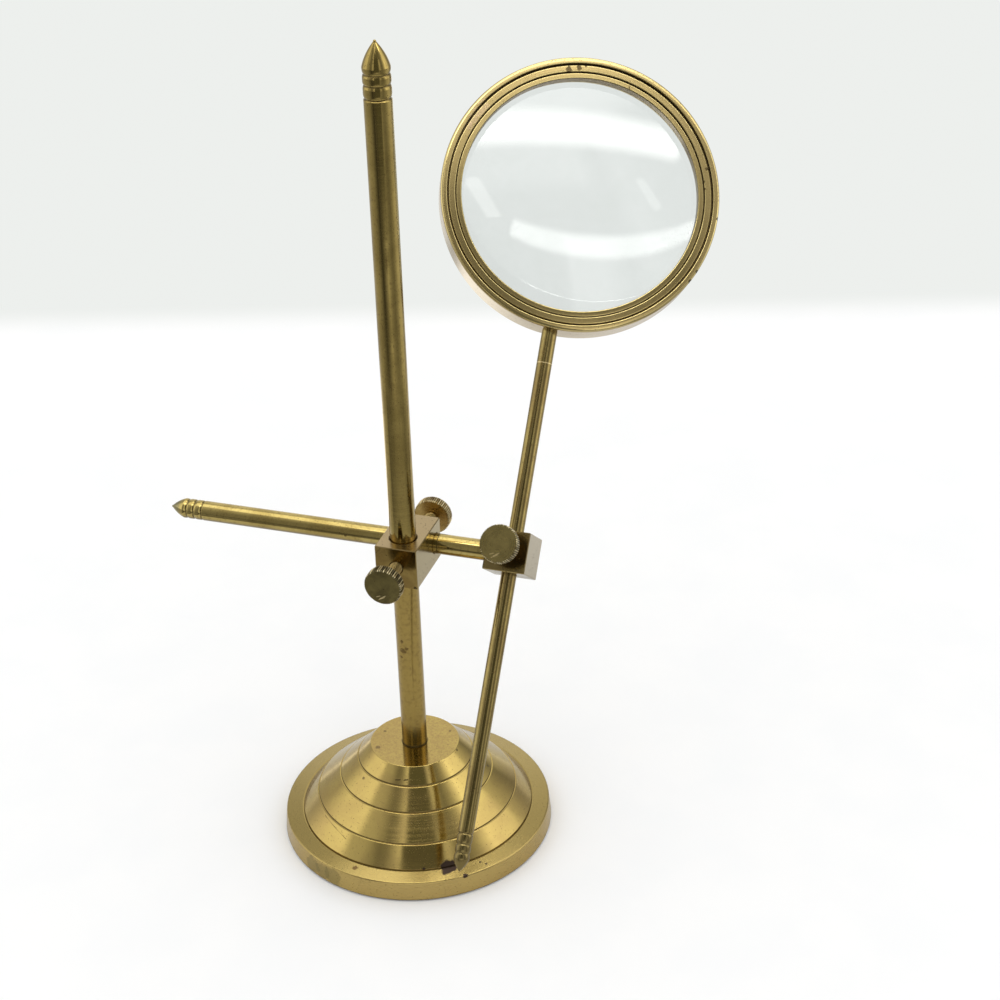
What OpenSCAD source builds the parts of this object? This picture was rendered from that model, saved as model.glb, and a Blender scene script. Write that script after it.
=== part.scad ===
// A magnifying glass on a turned brass stand. Millimetres, +Z up.
// The origin lies on the table, under the pole's axis. The arm runs along X and the front is -Y.

/* [Base] */
// Radius of the foot at the table
foot_r = 65.2; // [60:0.1:80]
// Height of the rim's upright side
rim_h = 9.5; // [6:0.1:14]
// How far the rim's side leans inwards over its height
rim_lean = 0.9; // [0:0.1:2]
// Width of the rim's top
rim_w = 8.3; // [5:0.1:11]
// Rise of the rim's top towards the bell
rim_rise = 0.6; // [0.1:0.1:1.5]
// Width of the first conical step, counted from the rim
step1_w = 7.9; // [6:0.1:9]
// Height of the first conical step
step1_h = 9.2; // [7:0.1:12]
// Width of the second conical step
step2_w = 11.3; // [9:0.1:12]
// Height of the second conical step
step2_h = 9.7; // [7:0.1:12]
// Width of the third conical step
step3_w = 9; // [7:0.1:10]
// Height of the third conical step
step3_h = 8.6; // [7:0.1:12]
// Width of the fourth conical step
step4_w = 6.5; // [5:0.1:7.5]
// Height of the fourth conical step
step4_h = 6.8; // [5:0.1:10]
// Width of the turned grooves between the steps
groove_w = 1.1; // [0.6:0.1:1.6]
// Depth of the turned grooves
groove_deep = 0.55; // [0.3:0.05:0.9]
// Wall of the hollow casting
base_wall = 4; // [3:0.1:5]
// Thickness of the base's flat top
base_top_t = 5; // [4:0.1:7]
// Radius of the boss under the flat top
boss_r = 11; // [9:0.1:13]
// Height of the boss under the flat top
boss_h = 6; // [3:0.1:8]

/* [Felt] */
// Thickness of the felt disc
felt_t = 2; // [1.5:0.1:3]
// How far the felt stands proud of the metal
felt_proud = 0.6; // [0.3:0.1:1]
// Width of the metal left outside the felt
felt_inset = 4.6; // [3:0.1:6]

/* [Pole] */
// Diameter of the pole
pole_d = 12; // [10:0.1:13]
// Length of the pole above the base
pole_len = 343.6; // [280:0.1:400]
// Length of the pole's pointed nose up to its widest place
pole_nose = 10.8; // [8:0.1:14]
// Length of the neck behind the nose
pole_neck = 2.8; // [2:0.1:6]
// Length of the first bead
pole_bead1 = 4.4; // [3:0.1:6]
// Length of the second bead
pole_bead2 = 5.5; // [3:0.1:7]
// Depth of the pole's turned necks
pole_neck_deep = 0.55; // [0.3:0.05:0.8]
// Diameter of the spigot that goes through the base
spigot_d = 8; // [6:0.1:9]
// Length of spigot left below the nut
spigot_spare = 2.4; // [1:0.1:4]
// Radius of the washer
washer_r = 9; // [8.5:0.1:10]
// Thickness of the washer
washer_t = 1.6; // [1:0.1:2]
// Width of the nut across its flats
nut_w = 13; // [12.5:0.1:15]
// Height of the nut
nut_h = 6.5; // [5:0.1:8]

/* [Cross block] */
// Side of the square bar that the cross block is cut from
bar_w = 20; // [18:0.1:22]
// Height of the arm's axis above the table
arm_z = 148.4; // [135:0.1:200]
// Distance from the pole's axis back to the arm's axis
arm_back = 15; // [13.5:0.1:18]
// Wall in front of the pole
front_wall = 4.8; // [3:0.1:8]
// Wall behind the arm
back_wall = 2; // [2:0.1:6]
// Bevel along the edges of both blocks
block_bevel = 0.35; // [0.2:0.05:0.6]

/* [Arm] */
// Diameter of the arm
arm_d = 9.5; // [8:0.1:11]
// Length of the arm left of the pole's axis
arm_left = 124.6; // [90:0.1:160]
// Length of the arm's pointed nose up to its widest place
arm_nose = 7.4; // [6:0.1:9]
// Length of the neck behind the nose
arm_neck = 1.9; // [1.5:0.1:4]
// Length of the first bead
arm_bead1 = 3.6; // [2:0.1:4]
// Length of the second bead
arm_bead2 = 4; // [3:0.1:6]
// Depth of the arm's turned necks
arm_neck_deep = 0.45; // [0.3:0.05:0.7]
// Diameter of the tenon in the end block
tenon_d = 6; // [5:0.1:7]
// Length of the tenon in the end block
tenon_len = 4.4; // [3:0.1:5]

/* [End block] */
// Distance from the pole's axis to the lens rod's axis
rod_x = 47.2; // [44:0.1:70]
// Depth of the end block, across the lens rod
end_depth = 22; // [19:0.1:24]
// Height of the end block, along the lens rod
end_h = 19; // [17:0.1:22]
// Backward lean of the lens rod from upright
tilt = 37.5; // [30:0.1:60]
// How far the lens screw sits above the end block's middle
lens_screw_rise = 1.3; // [0:0.1:2]

/* [Lens rod] */
// Diameter of the lens rod
rod_d = 7.2; // [6:0.1:8]
// Length of the lens rod below the arm's axis
rod_below = 145.2; // [130:0.1:150]
// Length of the lens rod's pointed nose up to its widest place
rod_nose = 5.8; // [4:0.1:8]
// Length of the neck behind the nose
rod_neck = 2.7; // [1.5:0.1:4]
// Length of the first bead
rod_bead1 = 3.8; // [2:0.1:5]
// Length of the second bead
rod_bead2 = 4.8; // [3:0.1:6]
// Depth of the lens rod's turned necks
rod_neck_deep = 0.4; // [0.25:0.05:0.6]
// Diameter of the tip that holds the lens frame
rod_tip_d = 5; // [4:0.1:5.5]

/* [Lens] */
// Radius of the lens
lens_r = 58.1; // [50:0.1:66]
// Radius of the lens's two curved faces
lens_curve = 300; // [260:1:600]
// Thickness of the lens at its edge
lens_edge = 2.8; // [2:0.1:4]
// Distance from the arm's axis to the middle of the lens
lens_reach = 170; // [150:0.1:200]
// Sideways offset of the lens from the rod's line
lens_side = 3.1; // [0:0.1:4]
// Turn of the lens about the rod
lens_turn = 19.9; // [0:0.1:45]

/* [Lens frame and rings] */
// Wall of the cell around the lens
cell_wall = 3.7; // [3:0.1:5]
// How far the cell's shoulder reaches in behind the lens
seat_lap = 2.5; // [1.5:0.1:4]
// How far the cell's face lies behind the frame's
cell_recess = 0.9; // [0.4:0.1:2]
// How far the retaining ring reaches in over the lens
ring_lap = 2.8; // [1.5:0.1:4]
// How far the retaining ring's face lies behind the cell's
ring_recess = 0.6; // [0.2:0.1:1.5]
// Wall of the frame around the cell
frame_wall = 3; // [2.5:0.1:5]
// Thickness of the lens frame, front to back
frame_t = 17; // [15:0.1:20]
// Thickness of the frame's rear lip
lip_t = 3; // [2:0.1:4]
// How far the frame's rear lip reaches in behind the cell
lip_lap = 4.8; // [3:0.1:6]
// Rounding of the frame's outer edges
frame_round = 1; // [0.4:0.1:1.4]
// Depth of the flat that the lens rod seats on
flat_deep = 0.4; // [0.3:0.05:0.5]
// Bevel along the inner edge of each ring
ring_bevel = 0.4; // [0.2:0.05:0.6]

/* [Thumbscrews] */
// Diameter of the knurled heads
knob_d = 17.8; // [14:0.1:19]
// Thickness of the knurled heads
knob_t = 4.9; // [4:0.1:7]
// Number of ridges around a head
knurl_count = 56; // [40:1:64]
// Depth of the ridges
knurl_deep = 0.35; // [0.2:0.05:0.5]
// Bevel around a head's faces
knob_bevel = 0.5; // [0.3:0.1:0.8]
// Diameter of the screws
screw_d = 6; // [5:0.1:7]
// Length of the screws, from the tip to the head
screw_len = 17.4; // [15:0.1:22]
// Depth of the socket in a head
socket_deep = 3.4; // [2.5:0.1:3.6]
// Length of the screws' slim tips
tip_len = 1.4; // [1:0.1:2]
// Diameter of the screws' slim tips
tip_d = 4.4; // [3:0.1:4.6]

/* [Fits] */
// Clearance around a rod that slides
slide_gap = 0.08; // [0.05:0.01:0.1]
// Clearance around a screw, a tenon or a spigot
turn_gap = 0.05; // [0.03:0.01:0.08]
// Clearance between pieces that only lie together
seat_gap = 0.12; // [0.08:0.01:0.2]
// Bevel at the mouths of the bores
mouth_bevel = 0.4; // [0.2:0.05:0.6]

/* [Hidden] */
$fn = 96;

// How far a cut runs past the face that it opens
over = 1;

// Corners of the base's outside, from the foot up
rim_top = [foot_r - rim_lean, felt_proud + rim_h];
bell_foot = rim_top + [-rim_w, rim_rise];
groove1 = bell_foot + [-step1_w, step1_h];
groove2 = groove1 + [-step2_w, step2_h];
groove3 = groove2 + [-step3_w, step3_h];
top_edge = groove3 + [-step4_w, step4_h];
base_h = top_edge[1];
felt_r = foot_r - felt_inset;
rim_round = 0.8;
top_round = 0.3;

// Inside of the bell, a wall's thickness in from the line between its foot and its top
bell_run = bell_foot[0] - top_edge[0];
bell_rise = base_h - bell_foot[1];
bell_slant = norm([bell_run, bell_rise]);
wall_in = base_wall * [bell_rise, bell_run] / bell_slant;
ceiling_z = base_h - base_top_t;
ceiling_r = top_edge[0] - wall_in[0] + (base_top_t - wall_in[1]) * bell_run / bell_rise;
boss_z = ceiling_z - boss_h;
washer_z = boss_z - washer_t;
nut_z = washer_z - nut_h;
spigot_end = nut_z - spigot_spare;
spigot_bevel = 0.8;

// Rods and blocks
pole_r = pole_d / 2;
arm_r = arm_d / 2;
rod_r = rod_d / 2;
front_face = pole_r + front_wall;
back_face = arm_back + arm_r + back_wall;
end_left = rod_x - bar_w / 2;
tenon_bevel = 0.5;
neck_flat = 0.1;

// The lens and its rings, from the lens outwards
seat_r = lens_r - seat_lap;
view_r = lens_r - ring_lap;
ring_r = lens_r + seat_gap;
cell_bore_r = ring_r + seat_gap;
cell_r = cell_bore_r + cell_wall;
frame_bore_r = cell_r + seat_gap;
lip_r = frame_bore_r - lip_lap;
frame_r = frame_bore_r + frame_wall;

// Faces of the lens and its rings, along the lens's own axis
frame_front = frame_t / 2;
cell_front = frame_front - cell_recess;
ring_front = cell_front - ring_recess;
cell_seat = lip_t - frame_front;
lens_half_t = lens_edge / 2 + curve_sag(lens_r);
seat_z = curve_sag(seat_r) - lens_half_t - seat_gap;
ring_back = lens_half_t - curve_sag(view_r) + seat_gap;

// Where the lens rod seats on the frame, from the middle of the lens
frame_side = sqrt(frame_r * frame_r - lens_side * lens_side);
rod_top = frame_side - flat_deep;

// Depth of the lens's curved face at a radius
function curve_sag(r) = lens_curve - sqrt(lens_curve * lens_curve - r * r);

// Points of an arc about c, from angle a to angle b
function arc(c, r, a, b, n = 8) = [for (i = [0:n]) let (t = a + (b - a) * i / n) c + r * [cos(t), sin(t)]];

// Edge of a bead that starts at height z, rounded down to the necks beside it
function bead(z, len, r, deep, n = 10) =
    [for (i = [0:n]) let (u = i / n) [r - deep * pow(2 * u - 1, 4), z - len * u]];

// Edge of a turned rod's pointed end, from the tip down to the last neck
function finial(tip, r, nose, neck, bead1, bead2, deep, n = 5) =
    let (
        shoulder = r / 2,
        reach = norm([nose, r - shoulder]),
        slope = atan2(r - shoulder, nose) + asin(shoulder / reach),
        side = sqrt(reach * reach - shoulder * shoulder),
        widest = tip - nose,
        bead1_z = widest - neck - neck_flat,
        bead2_z = bead1_z - bead1 - neck_flat,
        end_z = bead2_z - bead2 - neck_flat
    )
    concat(
        [[0, tip], [side * sin(slope), tip - side * cos(slope)]],
        arc([r - shoulder, widest], shoulder, 90 - slope, 0, 6),
        [for (i = [1:n]) [r - deep * pow(i / n, 2), widest - neck * i / n]],
        bead(bead1_z, bead1, r, deep),
        bead(bead2_z, bead2, r, deep),
        [[r - deep, end_z], [r, end_z - deep]]
    );

// Frames of reference: the arm's axis, the end block, the lens rod and the lens
module at_arm() translate([0, arm_back, arm_z]) children();
module at_end() at_arm() rotate([-tilt, 0, 0]) translate([rod_x, 0, 0]) children();
module at_lens() at_end() translate([0, 0, lens_reach]) rotate([0, 0, lens_turn])
    rotate([90, 0, 0]) translate([lens_side, 0, 0]) children();

// Screw axes: +Z points away from the rod that the screw clamps, and starts on the rod's axis
module at_pole_screw() translate([0, 0, arm_z]) rotate([90, 0, 0]) children();
module at_arm_screw() at_arm() rotate([-90, 0, 0]) children();
module at_lens_screw() at_end() translate([0, 0, lens_screw_rise]) rotate([90, 0, 0]) children();

// A bar with all its edges bevelled, centred on the origin
module bevelled_bar(size, bevel) {
    intersection() {
        bevelled_prism([size[0], size[1]], size[2], bevel);
        rotate([90, 0, 0]) bevelled_prism([size[0], size[2]], size[1], bevel);
        rotate([0, 90, 0]) bevelled_prism([size[2], size[1]], size[0], bevel);
    }
}

module bevelled_prism(size, length, bevel) {
    x = size[0] / 2;
    y = size[1] / 2;
    linear_extrude(length, center = true)
        polygon([[x, y - bevel], [x - bevel, y], [bevel - x, y], [-x, y - bevel],
                 [-x, bevel - y], [bevel - x, -y], [x - bevel, -y], [x, bevel - y]]);
}

// A hole from z0 to z1 with bevelled mouths
module bore(r, z0, z1, bevel_low = true, bevel_high = true) {
    low = bevel_low ? z0 - over : z0;
    high = bevel_high ? z1 + over : z1;
    translate([0, 0, low]) cylinder(r = r, h = high - low);
    if (bevel_low) translate([0, 0, z0 - over])
        cylinder(r1 = r + mouth_bevel + over, r2 = r, h = mouth_bevel + over);
    if (bevel_high) translate([0, 0, z1 - mouth_bevel])
        cylinder(r1 = r, r2 = r + mouth_bevel + over, h = mouth_bevel + over);
}

// A turned groove at a corner p of the bell: sharp at the bottom, cut square to the slope around it
module bell_groove(below, p, above) {
    slope = atan2(above[1] - below[1], below[0] - above[0]);
    half = groove_w / 2;
    out = [sin(slope), cos(slope)];
    along = [cos(slope), -sin(slope)];
    rotate_extrude() polygon([p - groove_deep * out,
                              p + half * along,
                              p + (half + groove_deep) * along + groove_deep * out,
                              p - (half + groove_deep) * along + groove_deep * out,
                              p - half * along]);
}

// The hollow bell with its flat rim, turned grooves and flat top
module base_shell() color("goldenrod") difference() {
    rotate_extrude() polygon(concat(
        [[0, felt_proud], [foot_r - rim_round / 2, felt_proud], [foot_r, felt_proud + rim_round / 2]],
        arc(rim_top - [rim_round, rim_round], rim_round, 0, 90, 5),
        [bell_foot, groove1, groove2, groove3],
        arc(top_edge - [top_round, top_round], top_round, 45, 90, 3),
        [[0, base_h]]));
    bell_groove(rim_top, bell_foot, groove1);
    bell_groove(bell_foot, groove1, groove2);
    bell_groove(groove1, groove2, groove3);
    bell_groove(groove2, groove3, top_edge);
    bell_inside();
    translate([0, 0, felt_proud - over]) cylinder(r = felt_r + seat_gap, h = felt_t - felt_proud + over);
}

// The bell's hollow, which leaves a boss under the flat top, and the hole for the pole's spigot
module bell_inside() {
    difference() {
        rotate_extrude() polygon([[0, felt_proud], [bell_foot[0] - wall_in[0], felt_proud],
                                  bell_foot - wall_in, [ceiling_r, ceiling_z], [0, ceiling_z]]);
        translate([0, 0, boss_z]) cylinder(r = boss_r, h = boss_h + over);
    }
    spigot_hole();
}

module spigot_hole() translate([0, 0, boss_z]) bore(spigot_d / 2 + turn_gap, 0, base_h - boss_z, true, false);

module base_felt() color("darkolivegreen") cylinder(r = felt_r, h = felt_t);

// The pole: a spigot through the base, the clamped rod and a pointed finial, turned in one piece
module pole() color("darkgoldenrod")
    rotate_extrude() polygon(concat(
        finial(base_h + pole_len, pole_r, pole_nose, pole_neck, pole_bead1, pole_bead2, pole_neck_deep),
        [[pole_r, base_h], [spigot_d / 2, base_h], [spigot_d / 2, spigot_end + spigot_bevel],
         [spigot_d / 2 - spigot_bevel, spigot_end], [0, spigot_end]]));

module pole_washer() color("silver") translate([0, 0, washer_z]) difference() {
    cylinder(r = washer_r, h = washer_t);
    translate([0, 0, -over]) cylinder(r = spigot_d / 2 + turn_gap, h = washer_t + 2 * over);
}

// The nut, with its lower corners turned off
module pole_nut() color("silver") translate([0, 0, nut_z]) difference() {
    intersection() {
        cylinder(r = nut_w / sqrt(3), h = nut_h, $fn = 6);
        cylinder(r1 = nut_w / 2, r2 = nut_w / 2 + nut_h, h = nut_h);
    }
    translate([0, 0, -over]) cylinder(r = spigot_d / 2 + turn_gap, h = nut_h + 2 * over);
}

// The block that crosses the pole and the arm, with a screw for each
module cross_block() color("peru") difference() {
    translate([0, (back_face - front_face) / 2, arm_z])
        bevelled_bar([bar_w, front_face + back_face, bar_w], block_bevel);
    translate([0, 0, arm_z]) bore(pole_r + slide_gap, -bar_w / 2, bar_w / 2);
    at_arm() rotate([0, 90, 0]) bore(arm_r + slide_gap, -bar_w / 2, bar_w / 2);
    at_pole_screw() bore(screw_d / 2 + turn_gap, 0, front_face, false, true);
    at_arm_screw() bore(screw_d / 2 + turn_gap, 0, back_face - arm_back, false, true);
}

// The arm: a pointed finial, the clamped rod and a tenon for the end block
module arm_rod() color("gold") at_arm() rotate([0, -90, 0])
    rotate_extrude() polygon(concat(
        finial(arm_left, arm_r, arm_nose, arm_neck, arm_bead1, arm_bead2, arm_neck_deep),
        [[arm_r, -end_left], [tenon_d / 2, -end_left], [tenon_d / 2, tenon_bevel - end_left - tenon_len],
         [tenon_d / 2 - tenon_bevel, -end_left - tenon_len], [0, -end_left - tenon_len]]));

// The block at the arm's end, which leans with the lens rod
module end_block() color("darkkhaki") difference() {
    at_end() bevelled_bar([bar_w, end_depth, end_h], block_bevel);
    at_end() bore(rod_r + slide_gap, -end_h / 2, end_h / 2);
    at_lens_screw() bore(screw_d / 2 + turn_gap, 0, end_depth / 2, false, true);
    at_arm() translate([end_left - over, 0, 0]) rotate([0, 90, 0])
        cylinder(r = tenon_d / 2 + turn_gap, h = tenon_len + over + seat_gap);
}

// The lens rod: a pointed finial at its foot and a slim tip in the lens frame
module lens_rod() color("sienna") at_end() rotate([180, 0, 0])
    rotate_extrude() polygon(concat(
        finial(rod_below, rod_r, rod_nose, rod_neck, rod_bead1, rod_bead2, rod_neck_deep),
        [[rod_r, rod_top - lens_reach], [rod_tip_d / 2, rod_top - lens_reach],
         [rod_tip_d / 2, frame_bore_r - lens_reach], [0, frame_bore_r - lens_reach]]));

// Outer ring of the lens mount, with a lip behind and a seat for the lens rod
module lens_frame() color("khaki") at_lens() difference() {
    rotate_extrude() polygon(concat(
        [[frame_bore_r, cell_seat], [lip_r, cell_seat], [lip_r, ring_bevel - frame_front],
         [lip_r + ring_bevel, -frame_front]],
        arc([frame_r - frame_round, frame_round - frame_front], frame_round, -90, 0, 5),
        arc([frame_r - frame_round, frame_front - frame_round], frame_round, 0, 90, 5),
        [[frame_bore_r + ring_bevel, frame_front], [frame_bore_r, frame_front - ring_bevel]]));
    translate([-lens_side, 0, 0]) rotate([90, 0, 0]) {
        cylinder(r = rod_tip_d / 2 + turn_gap, h = frame_r + over);
        translate([0, 0, rod_top]) cylinder(r = rod_r + slide_gap, h = flat_deep + over);
    }
}

// Middle ring: the cell that carries the lens on a shoulder
module lens_cell() color("khaki") at_lens() rotate_extrude()
    polygon([[seat_r, cell_seat], [cell_r, cell_seat], [cell_r, cell_front - ring_bevel],
             [cell_r - ring_bevel, cell_front], [cell_bore_r + ring_bevel, cell_front],
             [cell_bore_r, cell_front - ring_bevel], [cell_bore_r, seat_z], [seat_r, seat_z]]);

// Inner ring: screws into the cell and holds the lens against the shoulder
module retaining_ring() color("khaki") at_lens() rotate_extrude()
    polygon([[view_r, ring_back], [ring_r, ring_back], [ring_r, ring_front - ring_bevel],
             [ring_r - ring_bevel, ring_front], [view_r + ring_bevel, ring_front],
             [view_r, ring_front - ring_bevel]]);

// The lens bulges the same on both sides
module lens() color("aliceblue", 0.4) at_lens() intersection() {
    cylinder(r = lens_r, h = 2 * lens_half_t + over, center = true);
    translate([0, 0, lens_half_t - lens_curve]) sphere(r = lens_curve, $fn = 360);
    translate([0, 0, lens_curve - lens_half_t]) sphere(r = lens_curve, $fn = 360);
}

// Screws and their knurled heads, along +Z from the axis of a rod with radius r
module screw(r) translate([0, 0, r + seat_gap]) rotate_extrude()
    polygon([[0, 0], [tip_d / 2, 0], [tip_d / 2, tip_len],
             [screw_d / 2, tip_len + (screw_d - tip_d) / 2],
             [screw_d / 2, screw_len + socket_deep - seat_gap],
             [0, screw_len + socket_deep - seat_gap]]);

module knurled_head(r) translate([0, 0, r + seat_gap + screw_len]) difference() {
    intersection() {
        linear_extrude(knob_t) polygon([for (i = [0:2 * knurl_count - 1])
            let (a = 180 * i / knurl_count, k = knob_d / 2 - (i % 2) * knurl_deep) k * [cos(a), sin(a)]]);
        rotate_extrude() polygon([[0, 0], [knob_d / 2 - knob_bevel, 0],
                                  [knob_d / 2 + over, knob_bevel + over],
                                  [knob_d / 2 + over, knob_t - knob_bevel - over],
                                  [knob_d / 2 - knob_bevel, knob_t], [0, knob_t]]);
    }
    translate([0, 0, -over]) cylinder(r = screw_d / 2 + turn_gap, h = socket_deep + over);
}

module pole_knob() color("olive") at_pole_screw() knurled_head(pole_r);
module pole_screw() color("darkgoldenrod") at_pole_screw() screw(pole_r);
module arm_knob() color("olive") at_arm_screw() knurled_head(arm_r);
module arm_screw() color("darkgoldenrod") at_arm_screw() screw(arm_r);
module lens_knob() color("olive") at_lens_screw() knurled_head(rod_r);
module lens_screw() color("darkgoldenrod") at_lens_screw() screw(rod_r);

base_shell();
base_felt();
pole();
pole_washer();
pole_nut();
cross_block();
pole_knob();
pole_screw();
arm_knob();
arm_screw();
arm_rod();
end_block();
lens_knob();
lens_screw();
lens_rod();
lens_frame();
lens_cell();
retaining_ring();
lens();
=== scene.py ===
from math import atan2, cos, hypot, radians, sin, sqrt, tan, tau

import bmesh
import bpy
from mathutils import Matrix, Vector


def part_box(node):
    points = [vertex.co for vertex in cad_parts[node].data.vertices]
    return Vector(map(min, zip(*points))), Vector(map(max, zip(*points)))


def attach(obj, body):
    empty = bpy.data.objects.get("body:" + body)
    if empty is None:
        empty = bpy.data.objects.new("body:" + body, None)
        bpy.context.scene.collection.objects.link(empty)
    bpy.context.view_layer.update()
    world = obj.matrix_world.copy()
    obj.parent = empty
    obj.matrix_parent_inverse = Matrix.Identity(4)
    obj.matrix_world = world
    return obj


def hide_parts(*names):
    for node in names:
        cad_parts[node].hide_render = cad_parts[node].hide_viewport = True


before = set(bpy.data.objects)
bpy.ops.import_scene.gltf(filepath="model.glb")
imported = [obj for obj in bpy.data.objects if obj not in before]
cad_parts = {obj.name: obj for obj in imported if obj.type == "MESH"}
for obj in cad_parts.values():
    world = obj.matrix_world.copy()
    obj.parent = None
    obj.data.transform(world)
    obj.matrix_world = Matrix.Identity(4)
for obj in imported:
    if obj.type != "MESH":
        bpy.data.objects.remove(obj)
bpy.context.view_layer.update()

MM = 0.001


def box_mm(node):
    """Lowest and highest corners of a CAD node in millimetres."""
    low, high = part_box(node)
    return Vector(low) / MM, Vector(high) / MM


# Base
BASE_LOW, BASE_HIGH = box_mm("base_shell")
FOOT_R = BASE_HIGH.x
FELT_PROUD = BASE_LOW.z
BASE_H = BASE_HIGH.z
FELT_R = box_mm("base_felt")[1].x
FELT_T = box_mm("base_felt")[1].z
# Corners of the base's outside, from its rim inwards: radius and height
RIM_TOP = (FOOT_R - 0.9, FELT_PROUD + 9.5)
BELL_FOOT = (RIM_TOP[0] - 8.3, RIM_TOP[1] + 0.6)
GROOVE_1 = (BELL_FOOT[0] - 7.9, BELL_FOOT[1] + 9.2)
GROOVE_2 = (GROOVE_1[0] - 11.3, GROOVE_1[1] + 9.7)
GROOVE_3 = (GROOVE_2[0] - 9, GROOVE_2[1] + 8.6)
TOP_EDGE = (GROOVE_3[0] - 6.5, BASE_H)
GROOVE_W = 1.1
GROOVE_DEEP = 0.42
BASE_WALL = 4
BASE_TOP_T = 5
BOSS_R = 11
BOSS_H = 6
SPIGOT_R = 4

# Pole and arm
POLE_LOW, POLE_HIGH = box_mm("pole")
POLE_R = POLE_HIGH.x
POLE_TIP = POLE_HIGH.z
ARM_LOW, ARM_HIGH = box_mm("arm_rod")
ARM_R = (ARM_HIGH.z - ARM_LOW.z) / 2
ARM_Y = (ARM_HIGH.y + ARM_LOW.y) / 2
ARM_Z = (ARM_HIGH.z + ARM_LOW.z) / 2
ARM_LEFT = -ARM_LOW.x
# Pointed ends: nose, neck, first bead, second bead, depth of the grooves
POLE_END = (10.8, 2.8, 4.4, 5.5, 0.55)
ARM_END = (7.4, 1.9, 3.6, 4, 0.45)
ROD_END = (5.8, 2.7, 3.8, 4.8, 0.4)
GROOVE_FLAT = 0.1
# Close steps down the blunt tip of a pointed end
TIP_STEPS = [0.03, 0.1, 0.2, 0.35, 0.55, 0.8, 1.2, 1.7]
TENON_R = 3
TENON_LEN = 4.4

# Blocks
BAR_W = box_mm("cross_block")[1].x * 2
END_LEFT = box_mm("end_block")[0].x
ROD_X = END_LEFT + BAR_W / 2
TILT = 37.5
SCREW_RISE = 1.3

# Lens rod
ROD_R = 3.6
ROD_BELOW = 145.2
ROD_TIP_R = 2.5

# Lens and rings
LENS_REACH = 170
LENS_TURN = 19.9
LENS_SIDE = 3.1
LENS_R = 58.1
LENS_CURVE = 300
LENS_EDGE = 2.8
VIEW_R = LENS_R - 2.8
SEAT_R = LENS_R - 2.5
RING_R = LENS_R + 0.12
CELL_BORE_R = RING_R + 0.12
CELL_R = CELL_BORE_R + 3.7
FRAME_BORE_R = CELL_R + 0.12
FRAME_R = FRAME_BORE_R + 3
LIP_R = FRAME_BORE_R - 4.8
FRAME_FRONT = 8.5
CELL_FRONT = FRAME_FRONT - 0.9
RING_FRONT = CELL_FRONT - 0.6
CELL_SEAT = 3 - FRAME_FRONT
# Narrow steps that leave a dark line between the rings
CELL_STEP = 0.64
RING_STEP = 0.4
ROD_TOP = sqrt(FRAME_R ** 2 - LENS_SIDE ** 2) - 0.4

# Thumbscrews
KNOB_R = box_mm("pole_knob")[1].x
KNOB_T = 4.9
KNOB_BEVEL = 0.5
RIDGES = 56
RIDGE_DEEP = 0.45
SCREW_R = 3
SCREW_LEN = 17.4
THREAD_DEEP = 0.5
SOCKET_DEEP = 3.4
SEAT_GAP = 0.12
TURN_GAP = 0.05

# Edges sharper than this angle in degrees aren't shaded smooth
SHARP_ANGLE = 42


def shift(x, y, z):
    return Matrix.Translation((x, y, z))


def turn(degrees, axis):
    return Matrix.Rotation(radians(degrees), 4, axis)


# Places of the turned pieces, in millimetres, with their own axis along Z
HERE = shift(0, 0, 0)
AT_ARM = shift(0, ARM_Y, ARM_Z)
AT_END = AT_ARM @ turn(-TILT, "X") @ shift(ROD_X, 0, 0)
AT_LENS = AT_END @ shift(0, 0, LENS_REACH) @ turn(LENS_TURN, "Z") @ turn(90, "X") @ shift(LENS_SIDE, 0, 0)
AT_ARM_ROD = AT_ARM @ turn(-90, "Y")
AT_LENS_ROD = AT_END @ turn(180, "X")
AT_POLE_SCREW = shift(0, 0, ARM_Z) @ turn(90, "X")
AT_ARM_SCREW = AT_ARM @ turn(-90, "X")
AT_LENS_SCREW = AT_END @ shift(0, 0, SCREW_RISE) @ turn(90, "X")


def curve_sag(r):
    """Depth of the lens's curved face at a radius."""
    return LENS_CURVE - sqrt(LENS_CURVE ** 2 - r ** 2)


LENS_HALF_T = LENS_EDGE / 2 + curve_sag(LENS_R)
SEAT_Z = curve_sag(SEAT_R) - LENS_HALF_T - SEAT_GAP
RING_BACK = LENS_HALF_T - curve_sag(VIEW_R) + SEAT_GAP


# Profiles are lists of (radius, height) in millimetres

def soften(corners, steps=4):
    """Round the corners of a profile given as (radius, height, rounding)."""
    out = []
    count = len(corners)
    for i, (r, z, rounding) in enumerate(corners):
        here = Vector((r, z))
        if not rounding:
            out.append((r, z))
            continue
        before = Vector(corners[i - 1][:2]) - here
        after = Vector(corners[(i + 1) % count][:2]) - here
        half = before.angle(after) / 2
        reach = min(rounding / tan(half), 0.48 * before.length, 0.48 * after.length)
        size = reach * tan(half)
        before.normalize()
        after.normalize()
        centre = here + (before + after).normalized() * size / sin(half)
        start = here + before * reach - centre
        end = here + after * reach - centre
        sweep = start.angle_signed(end)
        for k in range(steps + 1):
            a = -sweep * k / steps
            out.append((centre.x + start.x * cos(a) - start.y * sin(a),
                        centre.y + start.x * sin(a) + start.y * cos(a)))
    return out


def bead(z, length, r, deep, n=24):
    """Edge of a bead that starts at height z and rounds down to the necks beside it."""
    return [(r - deep * abs(2 * i / n - 1) ** 4, z - length * i / n) for i in range(n + 1)]


def nose_r(depth, nose, r):
    """Radius of a pointed nose at a depth below its tip: a blunt point, then a bulging cone."""
    blunt = 0.11 * r
    u = min(1, depth / nose)
    bulge = r * (1.6 * u - 0.6 * u ** 1.9)
    cap = sqrt(max(0, blunt ** 2 - (blunt - min(depth, blunt)) ** 2))
    return bulge if depth > 2.2 * blunt else max(bulge, min(cap, bulge + 0.45))


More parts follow.
